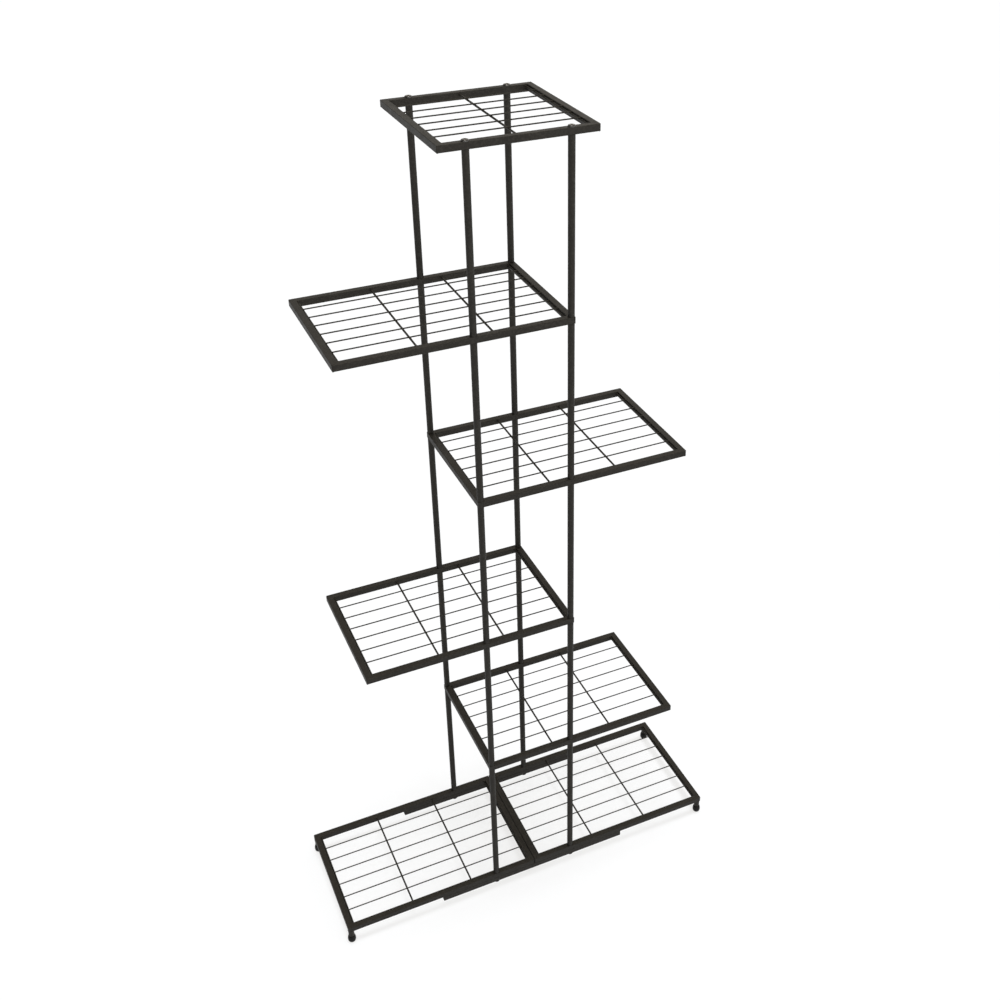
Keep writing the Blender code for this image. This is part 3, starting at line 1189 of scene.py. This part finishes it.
@dataclass
class Studio:
    """A plain pale floor, a white surround with soft lights overhead and in front, and the camera."""

    floor_size: float = 60.0
    floor_colour: Colour = (0.228, 0.250, 0.296)
    mottle: float = 0.985
    mottle_scale: float = 3.0
    floor_roughness: float = 0.8
    floor_specular: float = 0.05
    floor_glow: float = 0.714
    far_glow: float = 2.2
    glow_range: Span = (-6.0, -1.2)  # from the far glow to the floor's own, along Y
    glow_colour: Colour = (1.0, 0.989, 0.964)
    surround: float = 1.32
    overhead: float = 0.38
    bright_side: Triple = (0.90, -0.44, 0.0)
    side_spread: float = 0.8
    dim_share: float = 0.32
    bright_share: float = 2.00
    zenith: float = 0.9  # where the surround is all overhead
    light_colour: Colour = (1.0, 0.945, 0.85)
    cove: Colour = (1.0, 1.0, 1.0)
    cove_rise: Span = (0.10, 0.28)
    key_height: float = 3.0
    key_power: float = 1.90
    key_spread: float = 17.0  # degrees
    softbox_size: float = 0.5
    softboxes: tuple[tuple[str, float, float], ...] = (("left", -58.0, 4.0),  # side, azimuth and watts
                                                       ("right", 11.0, 11.0))
    softbox_height: float = 48.0  # degrees
    softbox_distance: float = 2.4
    eye: Triple = (-0.590072, -1.511290, 1.833778)
    aim: Triple = (58.8492, -0.2079, -25.3349)  # degrees
    lens: float = 44.1246
    sensor: float = 36.0
    shift: Span = (-0.07403, -0.05500)
    clip: Span = (0.01, 500.0)

    def lay_floor(self) -> None:
        """Lay the floor, a white panel lit from within, most of all far out in front."""
        bpy.ops.mesh.primitive_plane_add(size=self.floor_size, location=(0.0, 0.0, 0.0))
        floor = named_active("studio_floor")
        graph = Graph(bpy.data.materials.new("pale_studio_floor"))
        tint = tuple(value * self.mottle for value in self.floor_colour)
        graph.link(graph.blend(graph.noise(self.mottle_scale), self.floor_colour, tint), "Base Color")
        graph.set(Roughness=self.floor_roughness, Specular_IOR_Level=self.floor_specular,
                  Emission_Color=(*self.glow_colour, 1.0))
        glow = graph.between(graph.towards(BACKWARDS), self.far_glow, self.floor_glow, *self.glow_range)
        graph.link(glow, "Emission Strength")
        floor.data.materials.append(graph.owner)

    def tinted(self, strength: float) -> Colour:
        """Return the light's warm white at a strength."""
        return tuple(strength * share for share in self.light_colour)

    def hang_lights(self) -> None:
        """Set the surround, brightest low on the right above a white cove, and hang the soft lights."""
        sky = Graph(bpy.data.worlds.new("white_studio"))
        rise = sky.towards(UPWARDS)
        aside = sky.between(sky.towards(self.bright_side), 0.0, 1.0, -self.side_spread, self.side_spread)
        shares = (self.dim_share, self.bright_share)
        low, high = (sky.blend(aside, *(self.tinted(level * share) for share in shares))
                     for level in (self.surround, self.overhead))
        open_sky = sky.blend(sky.between(rise, 0.0, 1.0, 0.0, self.zenith), low, high)
        sky.link(sky.blend(sky.between(rise, 0.0, 1.0, *self.cove_rise), self.cove, open_sky), "Color")
        bpy.context.scene.world = sky.owner
        bpy.ops.object.light_add(type="SUN", location=up(self.key_height))
        key = named_active("overhead_softbox")
        key.data.color = self.light_colour
        key.data.energy = self.key_power
        key.data.angle = math.radians(self.key_spread)
        height = math.radians(self.softbox_height)
        for side, azimuth, power in self.softboxes:
            self.hang_softbox(f"softbox_{side}", math.radians(azimuth), height, power)

    def hang_softbox(self, name: str, azimuth: float, height: float, power: float) -> None:
        """Hang a square softbox in front that looks at the top deck.

        Args:
            name: the light's name.
            azimuth: its angle round the stand, 0 straight in front and positive to the right.
            height: its angle above the top deck.
            power: its power in watts.
        """
        target = middle("frame_top")
        level = self.softbox_distance * math.cos(height)
        place = target + Vector((level * math.sin(azimuth), -level * math.cos(azimuth),
                                 self.softbox_distance * math.sin(height)))
        bpy.ops.object.light_add(type="AREA", location=place,
                                 rotation=(target - place).to_track_quat("-Z", "Y").to_euler())
        light = named_active(name)
        light.visible_camera = False
        light.data.color = self.light_colour
        light.data.size = self.softbox_size
        light.data.energy = power

    def set_camera(self) -> None:
        """Place the camera where the photograph was taken from."""
        bpy.ops.object.camera_add(location=self.eye, rotation=[math.radians(angle) for angle in self.aim])
        camera = named_active("photo_camera")
        camera.data.lens = self.lens
        camera.data.sensor_width = self.sensor
        camera.data.shift_x, camera.data.shift_y = self.shift
        camera.data.clip_start, camera.data.clip_end = self.clip
        bpy.context.scene.camera = camera

    def build(self) -> None:
        """Set up floor, light, camera and a plain picture transform."""
        self.lay_floor()
        self.hang_lights()
        self.set_camera()
        bpy.context.scene.view_settings.view_transform = "Standard"


def main() -> None:
    """Build the studio and every sub-assembly, from the decks down to the feet."""
    logging.basicConfig(level=logging.INFO, format="%(name)s: %(message)s")
    Studio().build()
    finishes = {Slot.POWDER: PowderCoat().material(), Slot.WIRE: WireCoat().material(),
                Slot.SCREW: BlackenedSteel().material(), Slot.FOOT: MouldedPlastic().material()}
    dresser = Dresser(finishes)
    posts = StackedPosts(dresser)
    MitredFrames(dresser).build()
    WireDecks(dresser).build()
    posts.build()
    SpliceBars(dresser).build()
    DomedScrews(dresser).build()
    LevellingFeet(dresser, posts).build()
    LOG.info("%d pieces dressed", dresser.count)


if __name__ == "__main__":
    main()
